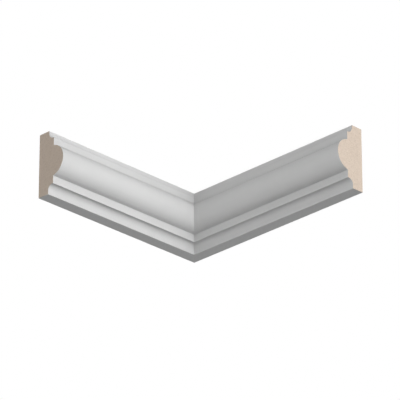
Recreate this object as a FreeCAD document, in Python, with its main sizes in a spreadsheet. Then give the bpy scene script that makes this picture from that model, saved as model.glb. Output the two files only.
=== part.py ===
# Wall moulding for the inside corner of a room: two lengths of one milled fibreboard section, mitred
# at their inner ends, sawn square at their outer ends, and glued mitre to mitre.
#
# The section is the same upwards and downwards. From either long edge it has a plain flat, a cove, a
# flat band, and then a round bead that stands out furthest at half height. The back is flat.
#
# Millimetres, +Z up. The right-hand length runs along +X from the corner and faces -Y. The left-hand
# length runs along -Y from the corner and faces +X. The origin is under the middle of the whole part,
# level with its bottom edge.
import FreeCAD, Part
import math
import os

import Sketcher

# Each row is a size in millimetres and what it measures.
SIZES = [
    ("moulding_height", 50.0, "bottom edge to top edge"),
    ("projection", 25.0, "back to the crest of the bead"),
    ("edge_depth", 10.0, "back to face at the two long edges"),
    ("edge_flat", 2.0, "plain flat beside each long edge"),
    ("cove_radius", 5.0, "quarter-round cove, and the step from the edge flat out to the band"),
    ("bead_width", 24.0, "height of the bead between the two bands"),
    ("arris_radius", 0.5, "sanded rounding of the sharp long edges"),
    ("left_run", 156.0, "left-hand length along its back, from the corner to its sawn end"),
    ("right_run", 169.0, "right-hand length along its back, from the corner to its sawn end"),
]

# Ends of a sketch line or arc, and an arc's centre, as the constraints number them.
START, END, CENTRE = 1, 2, 3
# The sketch's own origin, as the constraints name it.
ORIGIN = (-1, 1)


def make_sizes(document):
    """The spreadsheet of sizes: alias, value and meaning in each row."""
    sheet = document.addObject("Spreadsheet::Sheet", "Sizes")
    for row, (alias, value, meaning) in enumerate(SIZES, start=1):
        sheet.set(f"A{row}", alias)
        sheet.set(f"B{row}", str(value))
        sheet.set(f"C{row}", meaning)
        sheet.setAlias(f"B{row}", alias)
    document.recompute()
    return sheet


def add_sketch(body, name, role):
    """An empty sketch on one of the body's own origin planes, which is found by its role."""
    plane = next(feature for feature in body.Origin.OriginFeatures if feature.Role == role)
    sketch = body.newObject("Sketcher::SketchObject", name)
    sketch.AttachmentSupport = (plane, [""])
    sketch.MapMode = "FlatFace"
    return sketch


def add_rule(sketch, kind, *items):
    """One geometric constraint between parts of a sketch."""
    return sketch.addConstraint(Sketcher.Constraint(kind, *items))


def add_size(sketch, name, formula, kind, *items):
    """One dimension of a sketch, named and tied to the spreadsheet."""
    sketch.renameConstraint(add_rule(sketch, kind, *items), name)
    sketch.setExpression(f"Constraints.{name}", formula)


def point(across, up):
    return FreeCAD.Vector(across, up, 0)


def line(first, last):
    return Part.LineSegment(point(*first), point(*last))


def quarter(centre, radius, first_angle):
    """A quarter circle that turns anticlockwise from its first angle."""
    circle = Part.Circle(point(*centre), FreeCAD.Vector(0, 0, 1), radius)
    return Part.ArcOfCircle(circle, first_angle, first_angle + math.pi / 2)


def draw_section(body, sheet):
    """The milled section, on the plane across the length. The sketch runs from the back, at zero, out
    to the face on its negative side, and upwards from the bottom edge."""
    top = sheet.moulding_height
    middle = top / 2
    edge = -sheet.edge_depth
    flat = sheet.edge_flat
    cove = sheet.cove_radius
    band = edge - cove
    bead = sheet.bead_width / 2

    sketch = add_sketch(body, f"{body.Name}_section", "YZ_Plane")
    back_line, bottom_line, low_flat, low_cove, low_band = range(5)
    bead_arc, high_band, high_cove, high_flat, top_line, crest = range(5, 11)
    upper_springing = point(band, middle + bead)
    lower_springing = point(band, middle - bead)
    outline = [
        line((0, top), (0, 0)),
        line((0, 0), (edge, 0)),
        line((edge, 0), (edge, flat)),
        quarter((band, flat), cove, 0),
        line((band, flat + cove), (band, middle - bead)),
        Part.Arc(upper_springing, point(-sheet.projection, middle), lower_springing),
        line((band, middle + bead), (band, top - flat - cove)),
        quarter((band, top - flat), cove, 3 * math.pi / 2),
        line((edge, top - flat), (edge, top)),
        line((edge, top), (0, top)),
    ]
    sketch.addGeometry(outline, False)
    sketch.addGeometry(Part.Point(point(-sheet.projection, middle)), True)

    # The outline closes on itself, from the back down, out and up. Arcs turn anticlockwise, so the
    # bead starts at its upper springing, against the run of the rest.
    around = [back_line, bottom_line, low_flat, low_cove, low_band]
    for first, second in zip(around, around[1:]):
        add_rule(sketch, "Coincident", first, END, second, START)
    add_rule(sketch, "Coincident", low_band, END, bead_arc, END)
    add_rule(sketch, "Coincident", bead_arc, START, high_band, START)
    around = [high_band, high_cove, high_flat, top_line, back_line]
    for first, second in zip(around, around[1:]):
        add_rule(sketch, "Coincident", first, END, second, START)
    add_rule(sketch, "Coincident", back_line, END, *ORIGIN)

    for upright in (back_line, low_flat, low_band, high_band, high_flat):
        add_rule(sketch, "Vertical", upright)
    for level in (bottom_line, top_line):
        add_rule(sketch, "Horizontal", level)
    # Each cove leaves its edge flat smoothly and meets the band square, so its centre is level with
    # the end of the flat and plumb with the band.
    for cove_arc, at_flat, at_band in ((low_cove, START, END), (high_cove, END, START)):
        add_rule(sketch, "Horizontal", cove_arc, CENTRE, cove_arc, at_flat)
        add_rule(sketch, "Vertical", cove_arc, CENTRE, cove_arc, at_band)
    # The upper half repeats the lower one.
    for lower, upper in (
        (bottom_line, top_line),
        (low_flat, high_flat),
        (low_cove, high_cove),
        (low_band, high_band),
    ):
        add_rule(sketch, "Equal", lower, upper)
    # The crest is the bead's own furthest point.
    add_rule(sketch, "PointOnObject", crest, START, bead_arc)
    add_rule(sketch, "Horizontal", crest, START, bead_arc, CENTRE)

    add_size(sketch, "moulding_height", "Sizes.moulding_height", "Distance", back_line, top)
    add_size(sketch, "edge_depth", "Sizes.edge_depth", "Distance", bottom_line, sheet.edge_depth)
    add_size(sketch, "edge_flat", "Sizes.edge_flat", "Distance", low_flat, flat)
    add_size(sketch, "cove_radius", "Sizes.cove_radius", "Radius", low_cove, cove)
    bead_ends = (bead_arc, END, bead_arc, START)
    add_size(sketch, "bead_width", "Sizes.bead_width", "DistanceY", *bead_ends, sheet.bead_width)
    to_crest = (crest, START, *ORIGIN)
    add_size(sketch, "projection", "Sizes.projection", "DistanceX", *to_crest, sheet.projection)
    return sketch


def draw_mitre(body, sheet):
    """The waste that the mitre saw takes off the inner end, seen from above: a right-angled wedge whose
    long side passes through the corner at 45 degrees. It runs past the wood on every side by the
    section's own projection."""
    beyond = sheet.projection
    sketch = add_sketch(body, f"{body.Name}_mitre", "XY_Plane")
    saw_cut, front, end = range(3)
    wedge = [
        line((-beyond, beyond), (2 * beyond, -2 * beyond)),
        line((2 * beyond, -2 * beyond), (-beyond, -2 * beyond)),
        line((-beyond, -2 * beyond), (-beyond, beyond)),
    ]
    sketch.addGeometry(wedge, False)
    for first, second in ((saw_cut, front), (front, end), (end, saw_cut)):
        add_rule(sketch, "Coincident", first, END, second, START)
    add_rule(sketch, "Horizontal", front)
    add_rule(sketch, "Vertical", end)
    add_rule(sketch, "Equal", front, end)
    add_rule(sketch, "PointOnObject", *ORIGIN, saw_cut)
    past_end = (saw_cut, START, *ORIGIN)
    add_size(sketch, "past_end", "Sizes.projection", "DistanceX", *past_end, beyond)
    past_face = (saw_cut, END, *ORIGIN)
    add_size(sketch, "past_face", "2 * Sizes.projection", "DistanceY", *past_face, 2 * beyond)
    return sketch


def sharp_edges(shape, sheet):
    """Names of the long edges that stand out square from the section: the front of each long edge, and
    the outer corner of each cove."""
    band = sheet.edge_depth + sheet.cove_radius
    cove_top = sheet.edge_flat + sheet.cove_radius
    places = [(sheet.edge_depth, 0), (band, cove_top)]
    places += [(depth, sheet.moulding_height - up) for depth, up in places]
    names = []
    for number, edge in enumerate(shape.Edges, start=1):
        ends = [vertex.Point for vertex in edge.Vertexes]
        for depth, up in places:
            corner = FreeCAD.Vector(0, -depth, up)
            if all(corner.isEqual(FreeCAD.Vector(0, end.y, end.z), 1e-6) for end in ends):
                names.append(f"Edge{number}")
    return names


def make_length(document, sheet, name, run):
    """One length of moulding along +X, facing -Y: milled, its sharp long edges sanded, then mitred."""
    body = document.addObject("PartDesign::Body", name)
    body.Label = name
    milled = body.newObject("PartDesign::Pad", f"{name}_milled")
    milled.Profile = draw_section(body, sheet)
    milled.setExpression("Length", f"Sizes.{run}")
    document.recompute()

    sanded = body.newObject("PartDesign::Fillet", f"{name}_sanded")
    sanded.Base = (milled, sharp_edges(milled.Shape, sheet))
    sanded.setExpression("Radius", "Sizes.arris_radius")

    mitred = body.newObject("PartDesign::Pocket", f"{name}_mitred")
    mitred.Profile = draw_mitre(body, sheet)
    mitred.Type = "ThroughAll"
    mitred.Reversed = True
    body.Tip = mitred
    document.recompute()
    if mitred.Shape.Volume >= sanded.Shape.Volume:
        raise ValueError(f"{name}: the mitre took nothing off")
    return body


def place_lengths(right, left):
    """Brings the two corners together. The section is the same both ways up, so the left-hand length
    is the same piece turned over about the line of the mitre."""
    left.Placement.Rotation = FreeCAD.Rotation(FreeCAD.Vector(1, -1, 0), 180)
    for length in (right, left):
        length.setExpression("Placement.Base.x", "-Sizes.right_run / 2")
        length.setExpression("Placement.Base.y", "Sizes.left_run / 2")
    left.setExpression("Placement.Base.z", "Sizes.moulding_height")


def check_model(document, lengths):
    """Stops before anything is written if a feature, a sketch or a solid is not sound."""
    for item in document.Objects:
        if {"Invalid", "Error"} & set(item.State):
            raise ValueError(f"{item.Name}: {item.State}")
        if item.isDerivedFrom("Sketcher::SketchObject") and not item.FullyConstrained:
            raise ValueError(f"{item.Name} is not fully constrained")
    for length in lengths:
        if length.Shape.isNull() or not length.Shape.isValid() or len(length.Shape.Solids) != 1:
            raise ValueError(f"{length.Label} is not one valid solid")


def main():
    document = FreeCAD.newDocument("wall_moulding")
    sheet = make_sizes(document)
    right = make_length(document, sheet, "right_length", "right_run")
    left = make_length(document, sheet, "left_length", "left_run")
    place_lengths(right, left)
    document.recompute()
    check_model(document, (right, left))

    os.makedirs("parts", exist_ok=True)
    for length in (right, left):
        length.Shape.exportStep(f"parts/{length.Label}.step")
        box = length.Shape.BoundBox
        print(length.Label, "volume", round(length.Shape.Volume), "mm3")
        print("  x", round(box.XMin, 3), round(box.XMax, 3), "y", round(box.YMin, 3), round(box.YMax, 3))
        print("  z", round(box.ZMin, 3), round(box.ZMax, 3))


main()
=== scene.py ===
# %% [markdown]
# A wall moulding for the inside corner of a room. A moulding machine mills one long profile out of
# fibreboard, and a line of spray guns primes it white. A saw then cuts two lengths with a mitre each,
# and glue joins them, so the bare board shows only at the sawn ends and on the back.
#
# The frame holds both lengths as plain solids. This scene dresses them: it rebuilds each length as a
# fine surface that has the soft edges and the small unevenness of the real thing, and gives it its
# primer and its bare board. Everything is in metres, in the frame's own place.

import math

import bmesh
import bpy
import numpy as np
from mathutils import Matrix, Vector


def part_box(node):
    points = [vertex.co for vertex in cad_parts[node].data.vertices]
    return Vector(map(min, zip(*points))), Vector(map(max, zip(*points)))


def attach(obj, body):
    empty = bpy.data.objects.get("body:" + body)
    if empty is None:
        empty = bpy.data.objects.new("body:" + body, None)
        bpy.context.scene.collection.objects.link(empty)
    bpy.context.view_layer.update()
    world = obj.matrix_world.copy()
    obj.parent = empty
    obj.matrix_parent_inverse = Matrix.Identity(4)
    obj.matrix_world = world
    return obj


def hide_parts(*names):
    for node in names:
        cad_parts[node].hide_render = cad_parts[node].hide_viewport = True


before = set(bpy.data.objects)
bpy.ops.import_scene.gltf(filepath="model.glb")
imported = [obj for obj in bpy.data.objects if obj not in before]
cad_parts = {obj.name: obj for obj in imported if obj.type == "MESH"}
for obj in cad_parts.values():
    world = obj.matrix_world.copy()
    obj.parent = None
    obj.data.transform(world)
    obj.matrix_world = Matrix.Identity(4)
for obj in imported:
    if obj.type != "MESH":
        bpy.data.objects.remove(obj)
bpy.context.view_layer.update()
print("solids in the frame:", sorted(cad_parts))

# %% [markdown]
# The section is drawn with a few radii and steps, as the knives of the moulding machine are ground. It
# could be traced as a long list of points, but then nobody could tell a cove from a bead, or change
# one. So each flat, cove and bead has its own size here, and the outline is worked out from them. They
# are the sizes of the solids, but for the tight places, where the light shows more than the outline
# does: the coves are a little smaller and leave a narrow ledge, and the long edges are sharper.
#
# The overall sizes come from the frame's own boxes, so that the surfaces land on the solids. The two
# backs meet at the corner of the room, and every place is measured from there.

# %% Sizes of the moulding
MM = 0.001
right_low, right_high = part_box("right_length")
left_low, left_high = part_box("left_length")
HEIGHT = right_high.z - right_low.z
PROJECTION = right_high.y - right_low.y
RIGHT_RUN = right_high.x - right_low.x
LEFT_RUN = left_high.y - left_low.y
CORNER = np.array([left_low.x, right_high.y, right_low.z])

EDGE_DEPTH = 10 * MM
BAND_DEPTH = 15 * MM
LOWER_FLAT, LOWER_COVE = 3 * MM, 4 * MM
UPPER_FLAT, UPPER_COVE = 2 * MM, 4.7 * MM
BEAD_WIDTH = 24 * MM
ARRIS_RADIUS = 0.2 * MM
QUIRK_RADIUS = 0.4 * MM

BEAD_RISE = PROJECTION - BAND_DEPTH
BEAD_RADIUS = ((BEAD_WIDTH / 2) ** 2 + BEAD_RISE**2) / (2 * BEAD_RISE)
BEAD_CENTRE = PROJECTION - BEAD_RADIUS
print(f"section {HEIGHT / MM:.1f} x {PROJECTION / MM:.1f} mm, bead radius {BEAD_RADIUS / MM:.2f} mm")
print(f"runs: right {RIGHT_RUN / MM:.1f} mm, left {LEFT_RUN / MM:.1f} mm")

# %% [markdown]
# On the real moulding no outer edge is sharp. Abrasive wheels ease the milled profile before the primer
# goes on, and they press a little harder in some places than in others. The primer itself gathers in
# the tight corners where the bead springs from its bands. A Bevel modifier would round every edge by
# the same amount, so the rounding is made part of the outline, and its radius may change on the way.

# %% Lines and arcs
def steps(first, last, count):
    """Even steps from one value to another, both kept: first + (last - first) * (0 .. 1)."""
    return first + (last - first) * np.linspace(0.0, 1.0, count)


def line(first, last, count):
    """Points on a straight line from one (depth, height) to another: even steps in each of the two."""
    return steps(first[0], last[0], count), steps(first[1], last[1], count)


def arc(centre_depth, centre_height, radius, first, last, count):
    """Points round a circle: the centre plus the radius times the cosine and sine of each angle."""
    angle = steps(first, last, count)
    return centre_depth + radius * np.cos(angle), centre_height + radius * np.sin(angle)


quarter = np.diff(arc(0.0, 0.0, 1.0, 0.0, math.pi / 2, 17), axis=1)
print(f"a quarter round of 17 points: {np.hypot(*quarter).sum():.4f} radii long, ideal {math.pi / 2:.4f}")

# %% The outline of the section
# How many points each part of the outline gets.
ARRIS_POINTS = 7
FLAT_POINTS = 3
COVE_POINTS = 17
BAND_POINTS = 5
QUIRK_POINTS = 6
BEAD_POINTS = 25


def half_outline(arris, flat, cove):
    """Depth and height from the front of a long edge to the crest of the bead, for a flat and a cove of
    the given sizes. arris is a column of rounding radii, and each of its rows gives one row of points.

    Eased edge, edge flat, cove, ledge, eased edge of the band, band, primer fillet, bead. The cove
    ends level, a little short of the band, and the ledge is what is left. The fillet touches the bead
    from outside, so their centres lie bead + quirk apart. Each part starts on the last point of the
    one before it, and that point is kept only once."""
    cove_depth = EDGE_DEPTH + cove
    band_foot = flat + cove
    fillet_depth = BAND_DEPTH + QUIRK_RADIUS
    fillet_drop = math.sqrt((BEAD_RADIUS + QUIRK_RADIUS) ** 2 - (fillet_depth - BEAD_CENTRE) ** 2)
    fillet_height = HEIGHT / 2 - fillet_drop
    spring = math.atan2(fillet_drop, fillet_depth - BEAD_CENTRE)
    same = np.zeros_like(arris)
    down = same - math.pi / 2
    turn = math.pi + same
    edge, band, ledge = EDGE_DEPTH + same, BAND_DEPTH + same, band_foot + same
    parts = [
        arc(EDGE_DEPTH - arris, arris, arris, down, same, ARRIS_POINTS),
        line((edge, arris), (edge, flat + same), FLAT_POINTS),
        arc(cove_depth, flat, -cove, same, down, COVE_POINTS),
        line((cove_depth + same, ledge), (BAND_DEPTH - arris, ledge), FLAT_POINTS),
        arc(BAND_DEPTH - arris, band_foot + arris, arris, down, same, ARRIS_POINTS),
        line((band, band_foot + arris), (band, fillet_height + same), BAND_POINTS),
        arc(fillet_depth, fillet_height, QUIRK_RADIUS, turn, turn - spring, QUIRK_POINTS),
        arc(BEAD_CENTRE, HEIGHT / 2, BEAD_RADIUS, same - spring, same, BEAD_POINTS),
    ]
    depth = np.hstack([parts[0][0]] + [part[0][:, 1:] for part in parts[1:]])
    height = np.hstack([parts[0][1]] + [part[1][:, 1:] for part in parts[1:]])
    return depth, height


def outline(arris):
    """The whole front: the lower half, and then the upper half, which is worked out upside down and
    turned over, so that each height becomes the full height less itself."""
    depth, height = half_outline(arris, LOWER_FLAT, LOWER_COVE)
    upper_depth, upper_drop = half_outline(arris, UPPER_FLAT, UPPER_COVE)
    upper_height = HEIGHT - upper_drop
    return np.hstack([depth, upper_depth[:, -2::-1]]), np.hstack([height, upper_height[:, -2::-1]])


front_depth, front_height = outline(np.array([[ARRIS_RADIUS]]))
deepest, highest = front_depth.max() / MM, front_height.max() / MM
print(f"outline: {front_depth.size} points, {deepest:.2f} mm deep and {highest:.2f} mm high")

# %% [markdown]
# The real surface is never quite even. Sanding leaves slow waves, a few hundredths of a millimetre
# deep. A rub with abrasive paper takes the edge off the glued mitre. The saw's teeth chip the primer
# where they leave the face.
#
# A bump in the material would not move the outline, and that is where the eye looks for such things.
# So they are worked out as distances and built into the mesh. A few sines with lengths that don't
# divide each other never seem to repeat, and they look smooth from as near as one likes.

# %% Small unevenness
RIPPLE_LENGTHS = np.array([9.0, 14.0, 23.0, 41.0]) * MM
RIPPLE_LEAN = 0.6
SANDING_DEPTH = 0.03 * MM
JOINT_EASE = 0.03 * MM
JOINT_REACH = 0.5 * MM
SAW_CHIPPING = 0.06 * MM


def ripple(along, up, seed):
    """Slow waves between 0 and 1: a half, plus half the mean of four sines of different length and
    phase, whose crests also lean with the height."""
    random = np.random.default_rng(seed)
    phase = random.uniform(0, 2 * math.pi, len(RIPPLE_LENGTHS))
    lean = random.uniform(-RIPPLE_LEAN, RIPPLE_LEAN, len(RIPPLE_LENGTHS))
    angle = 2 * math.pi * (along[..., None] + lean * up[..., None]) / RIPPLE_LENGTHS + phase
    return 0.5 + 0.5 * np.sin(angle).mean(axis=-1)


def relief(along, depth, height, outward, seed):
    """How far the surface lies inside the ideal outline, in metres. It is the sanding's ripple; plus the
    eased edge of the mitre, which is the ease times exp(-(distance from the joint / reach) squared);
    plus the paint that the saw chips off at the very end. A chip is a random share, cubed so that most
    are small, times the square of outward, the part of the outline's normal that points off the wall."""
    from_joint = along - depth
    worn = SANDING_DEPTH * ripple(along, height, seed)
    worn += JOINT_EASE * np.exp(-((from_joint / JOINT_REACH) ** 2))
    chips = np.random.default_rng(seed + 1).uniform(0, 1, height.shape[1]) ** 3
    worn[0] += SAW_CHIPPING * chips * outward[0] ** 2
    return worn


waves = ripple(np.linspace(0.0, RIGHT_RUN, 200), np.zeros(200), seed=1)
print(f"sanding: between {waves.min():.2f} and {waves.max():.2f} of {SANDING_DEPTH / MM:.2f} mm deep")

# %% [markdown]
# A length of moulding is one outline carried along a straight run. At the sawn end every point stops
# on the same plane. At the mitre a point stops as far from the corner as it stands off the wall, which
# is what a cut at 45 degrees means.
#
# An extruded curve with a boolean cut would give the same form, with long thin triangles and no control
# over them. Here a length is a solid block whose three directions are bent to the moulding: across,
# from the back to the face; up the outline; and along the run. Each of its six sides is then a grid of
# the same function, and the sides meet point for point.

# %% The block that is bent into a length of moulding
ACROSS = np.linspace(0.0, 1.0, 11)
END_ZONE = 1.0 * MM
END_STATIONS = np.array([0.0, 0.1, 0.25, 0.5]) * MM
EVEN_STATIONS = 110
ARRIS_SWELL = 0.2


def stations(run):
    """Shares of the way from the sawn end to the mitre: even steps, with closer ones inside the last
    millimetre at both ends."""
    near = END_STATIONS / run
    even = np.linspace(END_ZONE / run, 1 - END_ZONE / run, EVEN_STATIONS)
    return np.concatenate([near, even, 1 - near[::-1]])


def block(run, seed):
    """Every point of the block, as three arrays over station, outline point and share across.

    Depth is the share across times the outline's depth. Height passes by the same share from even steps
    up the back to the outline's own. The distance along runs in equal shares from the sawn end, at the
    full run, to the mitre, where it equals the depth. The rounding of the edges swells and shrinks by
    up to a fifth on the way. The relief moves the outline in along its normal, which is (rise, -out)
    over the length of the outline's own step."""
    share = stations(run)[:, None]
    swell = 2 * ripple(share * run, np.zeros_like(share), seed + 2) - 1
    depth, height = outline(ARRIS_RADIUS * (1.0 + ARRIS_SWELL * swell))
    along = run + (depth - run) * share
    rise = np.gradient(height, axis=1)
    out = np.gradient(depth, axis=1)
    length = np.hypot(rise, out)
    worn = relief(along, depth, height, rise / length, seed)
    depth = depth - worn * rise / length
    height = height + worn * out / length

    depth = depth[..., None] * ACROSS
    even = steps(height[:, :1], height[:, -1:], height.shape[1])
    height = even[..., None] + (height - even)[..., None] * ACROSS
    along = run + (depth - run) * share[..., None]
    return along, depth, height


print(f"stations along a length: {len(stations(RIGHT_RUN))}, points across: {len(ACROSS)}")

# %% [markdown]
# A sawn length of board is closed all round, and so is its mesh: the primed face with the two long
# edges, the sawn end, the mitre and the back. A grid round the outline alone would leave the ends open,
# and a fan of triangles would crowd at one point of each. The block's own sides close it evenly.
#
# Each side knows which finish it gets. Each point keeps its place on the board, which is how far along,
# deep and high it lies, so that the grain of the finishes can follow the run whichever way it points.

# %% The sides of the block
PRIMED, SAWN, BACK = range(3)


def grid_faces(numbers):
    """Four-cornered faces in a grid of point numbers: a point, the next one down the first direction,
    the one beyond both, and the next one down the second."""
    a, b = numbers[:-1, :-1], numbers[1:, :-1]
    c, d = numbers[1:, 1:], numbers[:-1, 1:]
    return np.stack([a, b, c, d], axis=-1).reshape(-1, 4)


def block_faces(numbers):
    """The faces of the block's six sides, each side being the grid of point numbers where one of the
    three directions is at its first or last value, and the finish of every face."""
    sides = [
        (numbers[:, :, -1], PRIMED),
        (numbers[:, 0, :], PRIMED),
        (numbers[:, -1, :], PRIMED),
        (numbers[0], SAWN),
        (numbers[-1], SAWN),
        (numbers[:, :, 0], BACK),
    ]
    grids = [grid_faces(side) for side, finish in sides]
    finishes = np.repeat([finish for side, finish in sides], [len(grid) for grid in grids])
    return np.concatenate(grids), finishes


small_faces, small_finishes = block_faces(np.arange(24).reshape(2, 3, 4))
small_primed = np.count_nonzero(small_finishes == PRIMED)
print(f"a block of 2 x 3 x 4 points has {len(small_faces)} faces, {small_primed} of them primed")

# %% Two closed lengths
SHARP_ANGLE = math.radians(40)


def turn_outwards(mesh):
    """Turns every face of a closed mesh so that its normal points out."""
    turned = bmesh.new()
    turned.from_mesh(mesh)
    bmesh.ops.recalc_face_normals(turned, faces=turned.faces)
    turned.to_mesh(mesh)
    turned.free()


def make_length(name, run, across_x, seed):
    """A closed mesh of the block's six sides, with only the points that they use. Its place is the
    corner plus the depth along +X and the run along -Y where across_x is true, or else the run along
    +X and the depth along -Y."""
    along, depth, height = block(run, seed)
    faces, finishes = block_faces(np.arange(along.size).reshape(along.shape))
    used, faces = np.unique(faces, return_inverse=True)
    faces = faces.reshape(-1, 4)
    board = np.stack([along.ravel(), depth.ravel(), height.ravel()], axis=1)[used]
    x, y = (depth, along) if across_x else (along, depth)
    place = np.stack([x.ravel(), -y.ravel(), height.ravel()], axis=1)[used] + CORNER

    mesh = bpy.data.meshes.new(name)
    mesh.from_pydata(place.tolist(), [], faces.tolist())
    mesh.polygons.foreach_set("material_index", finishes.astype(np.int32))
    mesh.polygons.foreach_set("use_smooth", np.ones(len(faces), dtype=bool))
    turn_outwards(mesh)
    mesh.set_sharp_from_angle(angle=SHARP_ANGLE)
    attribute = mesh.attributes.new("board", "FLOAT_VECTOR", "POINT")
    attribute.data.foreach_set("vector", board.astype(np.float32).ravel())
    piece = bpy.data.objects.new(name, mesh)
    bpy.context.scene.collection.objects.link(piece)
    print(f"{name}: {len(place)} points, {len(faces)} faces")
    return piece


right_moulding = make_length("right_moulding", RIGHT_RUN, across_x=False, seed=11)
left_moulding = make_length("left_moulding", LEFT_RUN, across_x=True, seed=23)

# %% [markdown]
# The primer is a thin matt white coat with a faint peel from the spray. Under it the knives of the
# moulding machine have left hair-fine lines along the run, which the coat doesn't quite hide. Both are
# hundredths of a millimetre deep, too fine to be worth points in the mesh, so they are bumps.
#
# An image of paint would show its own size and its seams. Noise has neither, and it is told in the
# board's own directions, which each mesh carries with it: along, deep and high.

# %% Nodes that read the board
def empty_tree(holder):
    """The node tree of a material or a world, with nothing in it yet."""
    holder.use_nodes = True
    holder.node_tree.nodes.clear()
    return holder.node_tree


def new_material(name):
    """A node material with only an output and its main shader."""
    material = bpy.data.materials.new(name)
    tree = empty_tree(material)
    output = tree.nodes.new("ShaderNodeOutputMaterial")
    shader = tree.nodes.new("ShaderNodeBsdfPrincipled")
    tree.links.new(shader.outputs["BSDF"], output.inputs["Surface"])
    return material, tree, shader


def board_place(tree, scale=(1.0, 1.0, 1.0), offset=(0.0, 0.0, 0.0)):
    """The place on the board, moved and then stretched: (place + offset) * scale. The node stretches
    first, so the offset that it gets is stretched beforehand."""
    attribute = tree.nodes.new("ShaderNodeAttribute")
    attribute.attribute_name = "board"
    mapping = tree.nodes.new("ShaderNodeMapping")
    mapping.vector_type = "POINT"
    mapping.inputs["Scale"].default_value = scale
    mapping.inputs["Location"].default_value = [a * b for a, b in zip(offset, scale)]
    tree.links.new(attribute.outputs["Vector"], mapping.inputs["Vector"])
    return mapping.outputs["Vector"]


def noise(tree, place, size, detail=2.0, roughness=0.5):
    """Noise whose blotches are about size metres across: its scale is one over the size."""
    node = tree.nodes.new("ShaderNodeTexNoise")
    node.inputs["Scale"].default_value = 1.0 / size
    node.inputs["Detail"].default_value = detail
    node.inputs["Roughness"].default_value = roughness
    tree.links.new(place, node.inputs["Vector"])
    return node.outputs["Fac"]


def ramp(tree, value, stops):
    """A colour for each value, in even passages between the (value, colour) stops."""
    node = tree.nodes.new("ShaderNodeValToRGB")
    elements = node.color_ramp.elements
    while len(elements) < len(stops):
        elements.new(1.0)
    for element, (at, colour) in zip(elements, stops):
        element.position = at
        element.color = (*colour, 1.0)
    tree.links.new(value, node.inputs["Fac"])
    return node.outputs["Color"]


# %% Nodes that work out values
NOISE_LOW, NOISE_HIGH = 0.3, 0.7


def fill(tree, socket, value):
    """Links a socket, or sets it to a plain number or colour."""
    if isinstance(value, bpy.types.NodeSocket):
        tree.links.new(value, socket)
    else:
        socket.default_value = value


def combine(tree, kind, first, second=0.0):
    """One step of arithmetic, such as ADD or SINE, on one or two values, each a socket or a number."""
    node = tree.nodes.new("ShaderNodeMath")
    node.operation = kind
    fill(tree, node.inputs[0], first)
    fill(tree, node.inputs[1], second)
    return node.outputs["Value"]


def blend(tree, share, first, second):
    """The share of the first value and the rest of the second: share * first + (1 - share) * second."""
    kept = combine(tree, "MULTIPLY", first, share)
    return combine(tree, "ADD", kept, combine(tree, "MULTIPLY", second, 1 - share))


def spread(tree, value, low, high):
    """The middle part of a noise, where nearly all of it lies, stretched evenly from low to high."""
    node = tree.nodes.new("ShaderNodeMapRange")
    node.inputs["From Min"].default_value = NOISE_LOW
    node.inputs["From Max"].default_value = NOISE_HIGH
    node.inputs["To Min"].default_value = low
    node.inputs["To Max"].default_value = high
    tree.links.new(value, node.inputs["Value"])
    return node.outputs["Result"]


def bump(tree, shader, height, depth):
    """Presses the height, from 0 to 1, into the shader's normal as a relief so many metres deep."""
    node = tree.nodes.new("ShaderNodeBump")
    node.inputs["Strength"].default_value = 1.0
    node.inputs["Distance"].default_value = depth
    tree.links.new(height, node.inputs["Height"])
    tree.links.new(node.outputs["Normal"], shader.inputs["Normal"])


def set_shader(tree, shader, colour, roughness, shine):
    """Gives the shader its colour, roughness and shine, each a socket or a plain value."""
    fill(tree, shader.inputs["Base Color"], colour)
    fill(tree, shader.inputs["Roughness"], roughness)
    fill(tree, shader.inputs["Specular IOR Level"], shine)


# %% White primer
KNIFE_LINE, KNIFE_STRETCH = 0.5 * MM, 0.02
SPRAY_PEEL, PEEL_SHARE = 1.1 * MM, 0.6
CLOUD, CLOUD_SHARE = 22 * MM, 0.7
PRIMER_SHADES = [(NOISE_LOW, (0.685, 0.687, 0.685)), (NOISE_HIGH, (0.715, 0.715, 0.713))]
PRIMER_ROUGHNESS = (0.58, 0.7)
PRIMER_SHINE = 0.3
PRIMER_RELIEF = 0.012 * MM


def white_primer():
    """Matt white. Its shade is a share of slow clouds and the rest of lines along the run, its relief a
    share of peel and the rest of lines, and its roughness follows the peel alone."""
    material, tree, shader = new_material("white_primer")
    lines = noise(tree, board_place(tree, (KNIFE_STRETCH, 1.0, 1.0)), KNIFE_LINE)
    peel = noise(tree, board_place(tree), SPRAY_PEEL, detail=3.0)
    clouds = noise(tree, board_place(tree), CLOUD, detail=3.0)
    colour = ramp(tree, blend(tree, CLOUD_SHARE, clouds, lines), PRIMER_SHADES)
    set_shader(tree, shader, colour, spread(tree, peel, *PRIMER_ROUGHNESS), PRIMER_SHINE)
    bump(tree, shader, blend(tree, PEEL_SHARE, peel, lines), PRIMER_RELIEF)
    return material


primer = white_primer()
print(f"{primer.name}: relief {PRIMER_RELIEF / MM:.3f} mm")

# %% [markdown]
# Fibreboard is wood ground to fibres and pressed with resin. A saw cut shows them end on: a beige ground
# peppered with darker and lighter specks well under a millimetre, duller than the primer, with the
# faint curved lines that the teeth of a round blade leave.
#
# A picture of real board would hold one fixed patch. Noise in the board's own directions covers any
# length and any cut, and the specks stay their real size.

# %% Bare fibreboard
DARK_FIBRE = (0.36, 0.27, 0.19)
BOARD = (0.665, 0.56, 0.468)
PALE_FIBRE = (0.835, 0.735, 0.64)
BOARD_SHADES = [(0.28, DARK_FIBRE), (0.46, BOARD), (0.56, BOARD), (0.74, PALE_FIBRE)]
# Painted light and shade on one and the same board: its colour is raised on the right length, whose sawn
# end is lit, and lowered on the left, whose sawn end is in shade. The backs get the same factors.
PAINTED_BOARD_SHADING = {"right": 1.08, "left": 0.875}
SPECK, SPECK_SHARE = 0.4 * MM, 0.75
TUFT = 1.6 * MM


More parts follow.
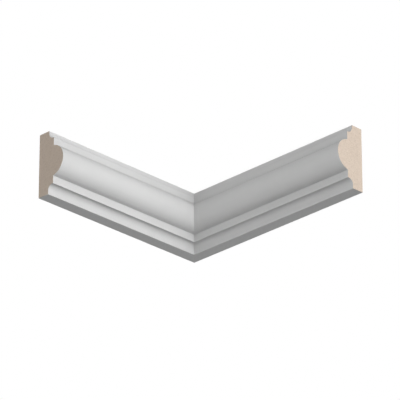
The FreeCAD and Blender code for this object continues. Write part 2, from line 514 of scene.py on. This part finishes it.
def fibres(tree, shading, stretch=1.0):
    """The board's speckle, a share of fine specks and the rest of coarser tufts, and its colour: the
    speckle turned into shades of beige, all multiplied by shading, the painted light and shade of that
    board. A stretch under 1 draws the specks out along the run."""
    place = board_place(tree, (stretch, 1.0, 1.0))
    specks = noise(tree, place, SPECK, detail=4.0, roughness=0.65)
    speckle = blend(tree, SPECK_SHARE, specks, noise(tree, place, TUFT))
    shades = [(at, tuple(shading * part for part in shade)) for at, shade in BOARD_SHADES]
    return speckle, ramp(tree, speckle, shades)


# Prints the painted light and shade factors of the two boards.
print("tones of the two boards:", PAINTED_BOARD_SHADING)

# %% The sawn ends
SAW_BEHIND, SAW_BELOW = 60 * MM, 110 * MM
SAW_PITCH, SAW_SHARE = 0.9 * MM, 0.35
WANDER_SIZE, SAW_WANDER = 6 * MM, 9.0
SAWN_ROUGHNESS = 0.9
SAWN_SHINE = 0.2
SAWN_RELIEF = 0.06 * MM


def length_of(tree, place):
    """How far a place lies from the origin: the root of the sum of its squares."""
    node = tree.nodes.new("ShaderNodeVectorMath")
    node.operation = "LENGTH"
    tree.links.new(place, node.inputs[0])
    return node.outputs["Value"]


def saw_lines(tree):
    """Curved lines round the blade's centre, which lies behind the back and well below the section: half
    the sine of the distance from it, one turn for each pitch, with noise added to the angle."""
    distance = length_of(tree, board_place(tree, (0.0, 1.0, 1.0), (0.0, SAW_BEHIND, SAW_BELOW)))
    turns = combine(tree, "MULTIPLY", distance, 2 * math.pi / SAW_PITCH)
    wander = combine(tree, "MULTIPLY", noise(tree, board_place(tree), WANDER_SIZE), SAW_WANDER)
    return combine(tree, "MULTIPLY", combine(tree, "SINE", combine(tree, "ADD", turns, wander)), 0.5)


def sawn_fibreboard(side):
    """Bare board where the saw has passed: its relief is the speckle plus a share of the saw lines."""
    material, tree, shader = new_material(f"sawn_fibreboard_{side}")
    # The board's colour here carries this side's painted shading: painted light on the right, painted
    # shade on the left.
    speckle, colour = fibres(tree, PAINTED_BOARD_SHADING[side])
    set_shader(tree, shader, colour, SAWN_ROUGHNESS, SAWN_SHINE)
    height = combine(tree, "ADD", speckle, combine(tree, "MULTIPLY", saw_lines(tree), SAW_SHARE))
    bump(tree, shader, height, SAWN_RELIEF)
    return material


saw_centre = math.hypot(SAW_BEHIND, SAW_BELOW)
print(f"saw marks {SAW_PITCH / MM:.1f} mm apart, centred {saw_centre / MM:.0f} mm from the back's foot")

# %% [markdown]
# The back is the board's own sanded face. It is the same stuff as the sawn ends, smoother, with the
# belt's fine scratches along the run. The spray guns point at the face, and a ragged millimetre or two
# of primer has blown round both long edges.
#
# A strip of paint with a straight border would look like tape. So the border is the distance from the
# nearer edge, set against a reach that noise makes longer and shorter.

# %% The sanded back
SPRAY_COLOUR = (0.70, 0.70, 0.698, 1.0)
SPRAY_REACH = 3.2 * MM
SPRAY_BLOT = 3 * MM
SPRAY_FADE = (-0.5 * MM, 0.4 * MM)
BELT_SCRATCH, BELT_STRETCH = 0.35 * MM, 0.03
BACK_STRETCH = 0.35
BACK_ROUGHNESS = 0.8
BACK_SHINE = 0.25
BACK_RELIEF = 0.02 * MM


def smooth_step(tree, value, start, end):
    """0 below the start, 1 above the end, and between them 3 t**2 - 2 t**3 at the share t of the way."""
    node = tree.nodes.new("ShaderNodeMapRange")
    node.interpolation_type = "SMOOTHSTEP"
    node.inputs["From Min"].default_value = start
    node.inputs["From Max"].default_value = end
    tree.links.new(value, node.inputs["Value"])
    return node.outputs["Result"]


def mix_colours(tree, share, first, second):
    """The first colour where the share is 0, and the second where it is 1."""
    node = tree.nodes.new("ShaderNodeMix")
    node.data_type = "RGBA"
    sockets = {socket.identifier: socket for socket in node.inputs}
    fill(tree, sockets["Factor_Float"], share)
    fill(tree, sockets["A_Color"], first)
    fill(tree, sockets["B_Color"], second)
    return next(socket for socket in node.outputs if socket.identifier == "Result_Color")


def spray_cover(tree):
    """How much primer covers a place, from 0 to 1: a soft step of the spray's reach, which noise makes
    longer and shorter, less the distance from the nearer long edge, which is half the height less the
    distance from the middle."""
    parts = tree.nodes.new("ShaderNodeSeparateXYZ")
    tree.links.new(board_place(tree), parts.inputs["Vector"])
    from_middle = combine(tree, "ABSOLUTE", combine(tree, "SUBTRACT", parts.outputs["Z"], HEIGHT / 2))
    from_edge = combine(tree, "SUBTRACT", HEIGHT / 2, from_middle)
    ragged = noise(tree, board_place(tree), SPRAY_BLOT, detail=5.0, roughness=0.7)
    reach = combine(tree, "MULTIPLY", ragged, SPRAY_REACH)
    return smooth_step(tree, combine(tree, "SUBTRACT", reach, from_edge), *SPRAY_FADE)


def sanded_back(side):
    """Bare board as the sanding belt leaves it, under the spray: its relief is half the speckle and half
    the scratches along the run."""
    material, tree, shader = new_material(f"sanded_back_{side}")
    # The back carries the same painted shading as this length's sawn end.
    speckle, colour = fibres(tree, PAINTED_BOARD_SHADING[side], BACK_STRETCH)
    colour = mix_colours(tree, spray_cover(tree), colour, SPRAY_COLOUR)
    set_shader(tree, shader, colour, BACK_ROUGHNESS, BACK_SHINE)
    belt = noise(tree, board_place(tree, (BELT_STRETCH, 1.0, 1.0)), BELT_SCRATCH)
    bump(tree, shader, blend(tree, 0.5, speckle, belt), BACK_RELIEF)
    return material


print(f"spray on the back: at most {(SPRAY_REACH - SPRAY_FADE[0]) / MM:.1f} mm from each long edge")

# %% [markdown]
# Each length now gets its three finishes, in the order of the numbers that its faces hold. Both lengths
# were sawn from the same primed stock, so they share the primer and the same board. Each board's colour
# is multiplied by a painted shading of its own: painted light on the right length, painted shade on the
# left one. Each length's own solid is hidden, and both ride on the one body.

# %% Put the finishes on
for piece, side in ((right_moulding, "right"), (left_moulding, "left")):
    finishes = [primer, sawn_fibreboard(side), sanded_back(side)]
    for finish in finishes:
        piece.data.materials.append(finish)
    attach(piece, "root")
    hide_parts(f"{side}_length")
    print(f"{side}_length:", ", ".join(finish.name for finish in finishes))

# %% [markdown]
# The corner is looked at from below, as it is on a wall, but it is stored standing on a floor. So the
# floor shows only from above, where it is pale and takes the shadow. From below, and for the light, it
# is clear, as if the moulding stood on a sheet of glass in a white room.
#
# A white floor lit as strongly as the moulding would come out grey, and more lamps would bleach the
# moulding. The floor gets a glow of its own instead, which is added for the camera alone, and further
# off it melts into the white of the room.

# %% The floor's finish
WHITE = (1.0, 1.0, 1.0, 1.0)
FLOOR_COLOUR = (0.9, 0.9, 0.9, 1.0)
FLOOR_GLOW = 0.5
MELT_START, MELT_END = 0.5, 2.5


def shader_node(tree, kind, **settings):
    """A shader node with the named inputs set to the given values; gives its output."""
    node = tree.nodes.new(kind)
    for name, value in settings.items():
        node.inputs[name].default_value = value
    return node.outputs[0]


def mix_shaders(tree, share, first, second):
    """The first shader where the share is 0, and the second where it is 1."""
    node = tree.nodes.new("ShaderNodeMixShader")
    for socket, value in zip(node.inputs, (share, first, second)):
        tree.links.new(value, socket)
    return node.outputs["Shader"]


def floor_finish():
    """Seen from above by the camera: matt plus glow, passing to plain white with the distance from the
    middle. Otherwise clear. The share seen is (1 - backfacing) * camera ray."""
    material = bpy.data.materials.new("pale_floor")
    tree = empty_tree(material)
    both = tree.nodes.new("ShaderNodeAddShader")
    matt = shader_node(tree, "ShaderNodeBsdfDiffuse", Color=FLOOR_COLOUR)
    tree.links.new(matt, both.inputs[0])
    tree.links.new(shader_node(tree, "ShaderNodeEmission", Strength=FLOOR_GLOW), both.inputs[1])
    white = shader_node(tree, "ShaderNodeEmission", Strength=1.0)
    place = tree.nodes.new("ShaderNodeTexCoord").outputs["Object"]
    melt = smooth_step(tree, length_of(tree, place), MELT_START, MELT_END)
    seen_floor = mix_shaders(tree, melt, both.outputs["Shader"], white)

    side = tree.nodes.new("ShaderNodeNewGeometry")
    path = tree.nodes.new("ShaderNodeLightPath")
    from_above = combine(tree, "SUBTRACT", 1.0, side.outputs["Backfacing"])
    shown = combine(tree, "MULTIPLY", from_above, path.outputs["Is Camera Ray"])
    clear = shader_node(tree, "ShaderNodeBsdfTransparent", Color=WHITE)
    output = tree.nodes.new("ShaderNodeOutputMaterial")
    tree.links.new(mix_shaders(tree, shown, clear, seen_floor), output.inputs["Surface"])
    return material


print(f"the floor melts into white between {MELT_START:.1f} and {MELT_END:.1f} m from the middle")

# %% The floor
FLOOR_SIZE = 14.0
FLOOR_DROP = 0.1 * MM


def make_floor():
    """A large square just under the moulding: its four corners lie half its size from the middle."""
    half = FLOOR_SIZE / 2
    mesh = bpy.data.meshes.new("floor")
    corners = [(-half, -half), (half, -half), (half, half), (-half, half)]
    mesh.from_pydata([(x, y, -FLOOR_DROP) for x, y in corners], [], [(0, 1, 2, 3)])
    mesh.materials.append(floor_finish())
    floor = bpy.data.objects.new("floor", mesh)
    bpy.context.scene.collection.objects.link(floor)
    print(f"floor: {FLOOR_SIZE:.0f} m square, {FLOOR_DROP / MM:.1f} mm under the moulding")


make_floor()

# %% [markdown]
# The photograph's light is soft and even along both lengths, so it comes from far away: wide distant
# lamps, and a plain grey room that lights what the lamps don't reach. A wide distant lamp is a soft box
# that never gets nearer or further. Area lamps would do for one view, but they would fall off along
# the run. The coves and the foot of the bead are dark, as in a room too big and too dim to throw light
# back into them. So the lamps and the room light a surface directly, and next to nothing is passed on.
#
# The key light stands level and well to the right of the corner, so that it meets the left-hand length,
# the brighter one, almost square on. The left light keeps the right-hand length from falling dark. The
# two that stand lower fill the underside, the coves and the sawn ends. All four are so wide that the
# tone changes slowly round the bead and fades softly towards the mitre. The back light is narrow, and
# reaches only the top, the back and the floor.

# %% Lamps
LAMPS = {
    # name: strength, spread in degrees, bearing from +X towards -Y, elevation
    "key_light": (1.93, 90.0, 20.0, 0.0),
    "left_light": (0.775, 90.0, 60.0, 0.0),
    "right_light": (0.83, 80.0, 0.0, -20.0),
    "low_light": (0.27, 80.0, 90.0, -20.0),
    "back_light": (2.2, 20.0, 225.0, 25.0),
}


def distant_lamp(name, strength, spread_degrees, bearing, elevation):
    """A sun lamp whose light comes from the given bearing and elevation. A sun shines down its own -Z,
    so it is tilted by 90 degrees less the elevation and turned by 90 degrees less the bearing. Multiple
    importance sampling is off, because it lets a wide lamp pass light on in spite of max_bounces."""
    lamp = bpy.data.lights.new(name, "SUN")
    lamp.energy = strength
    lamp.angle = math.radians(spread_degrees)
    lamp.cycles.max_bounces = 0
    lamp.cycles.use_multiple_importance_sampling = False
    holder = bpy.data.objects.new(name, lamp)
    holder.rotation_euler = (math.radians(90 - elevation), 0.0, math.radians(90 - bearing))
    bpy.context.scene.collection.objects.link(holder)


for lamp_name, settings in LAMPS.items():
    distant_lamp(lamp_name, *settings)
print("lamps:", ", ".join(LAMPS))

# %% The room
ROOM_LEVEL = 0.02


def make_room(level):
    """White where the camera, a reflection or a pane of glass shows it, and an even light of the given
    level for everything else. The share of white is the largest of those three, each either 0 or 1."""
    room = bpy.data.worlds.new("plain_room")
    room.cycles.max_bounces = 0
    tree = empty_tree(room)
    seen = shader_node(tree, "ShaderNodeBackground", Color=WHITE, Strength=1.0)
    lit = shader_node(tree, "ShaderNodeBackground", Color=WHITE, Strength=level)
    path = tree.nodes.new("ShaderNodeLightPath")
    direct = combine(tree, "MAXIMUM", path.outputs["Is Camera Ray"], path.outputs["Is Glossy Ray"])
    direct = combine(tree, "MAXIMUM", direct, path.outputs["Is Transmission Ray"])
    output = tree.nodes.new("ShaderNodeOutputWorld")
    tree.links.new(mix_shaders(tree, direct, lit, seen), output.inputs["Surface"])
    return room


bpy.context.scene.world = make_room(ROOM_LEVEL)
bpy.context.scene.view_settings.view_transform = "Standard"
print(f"{bpy.context.scene.world.name}: level {ROOM_LEVEL}")

# %% [markdown]
# The camera stands far off, below the moulding and in front of the corner, so the two lengths run away
# to both sides alike and their lines hardly converge. The lens is long for the same reason.

# %% The camera
LENS = 314.15
SENSOR = 36.0
CLIP_START, CLIP_END = 0.05, 100.0
# How far the camera looks up, and where to: the turn goes from +Y towards -X.
CAMERA_RISE = math.radians(25.573)
CAMERA_TURN = math.radians(45.058)
CAMERA_PLACE = (1.57894, -1.57607, -1.07114)

camera = bpy.data.cameras.new("camera")
camera.lens = LENS
camera.sensor_width = SENSOR
camera.clip_start = CLIP_START
camera.clip_end = CLIP_END
viewer = bpy.data.objects.new("camera", camera)
viewer.location = CAMERA_PLACE
viewer.rotation_euler = (math.pi / 2 + CAMERA_RISE, 0.0, CAMERA_TURN)
bpy.context.scene.collection.objects.link(viewer)
bpy.context.scene.camera = viewer
bpy.context.view_layer.update()
print(f"camera: {math.dist(CAMERA_PLACE, CORNER):.2f} m from the corner of the room")
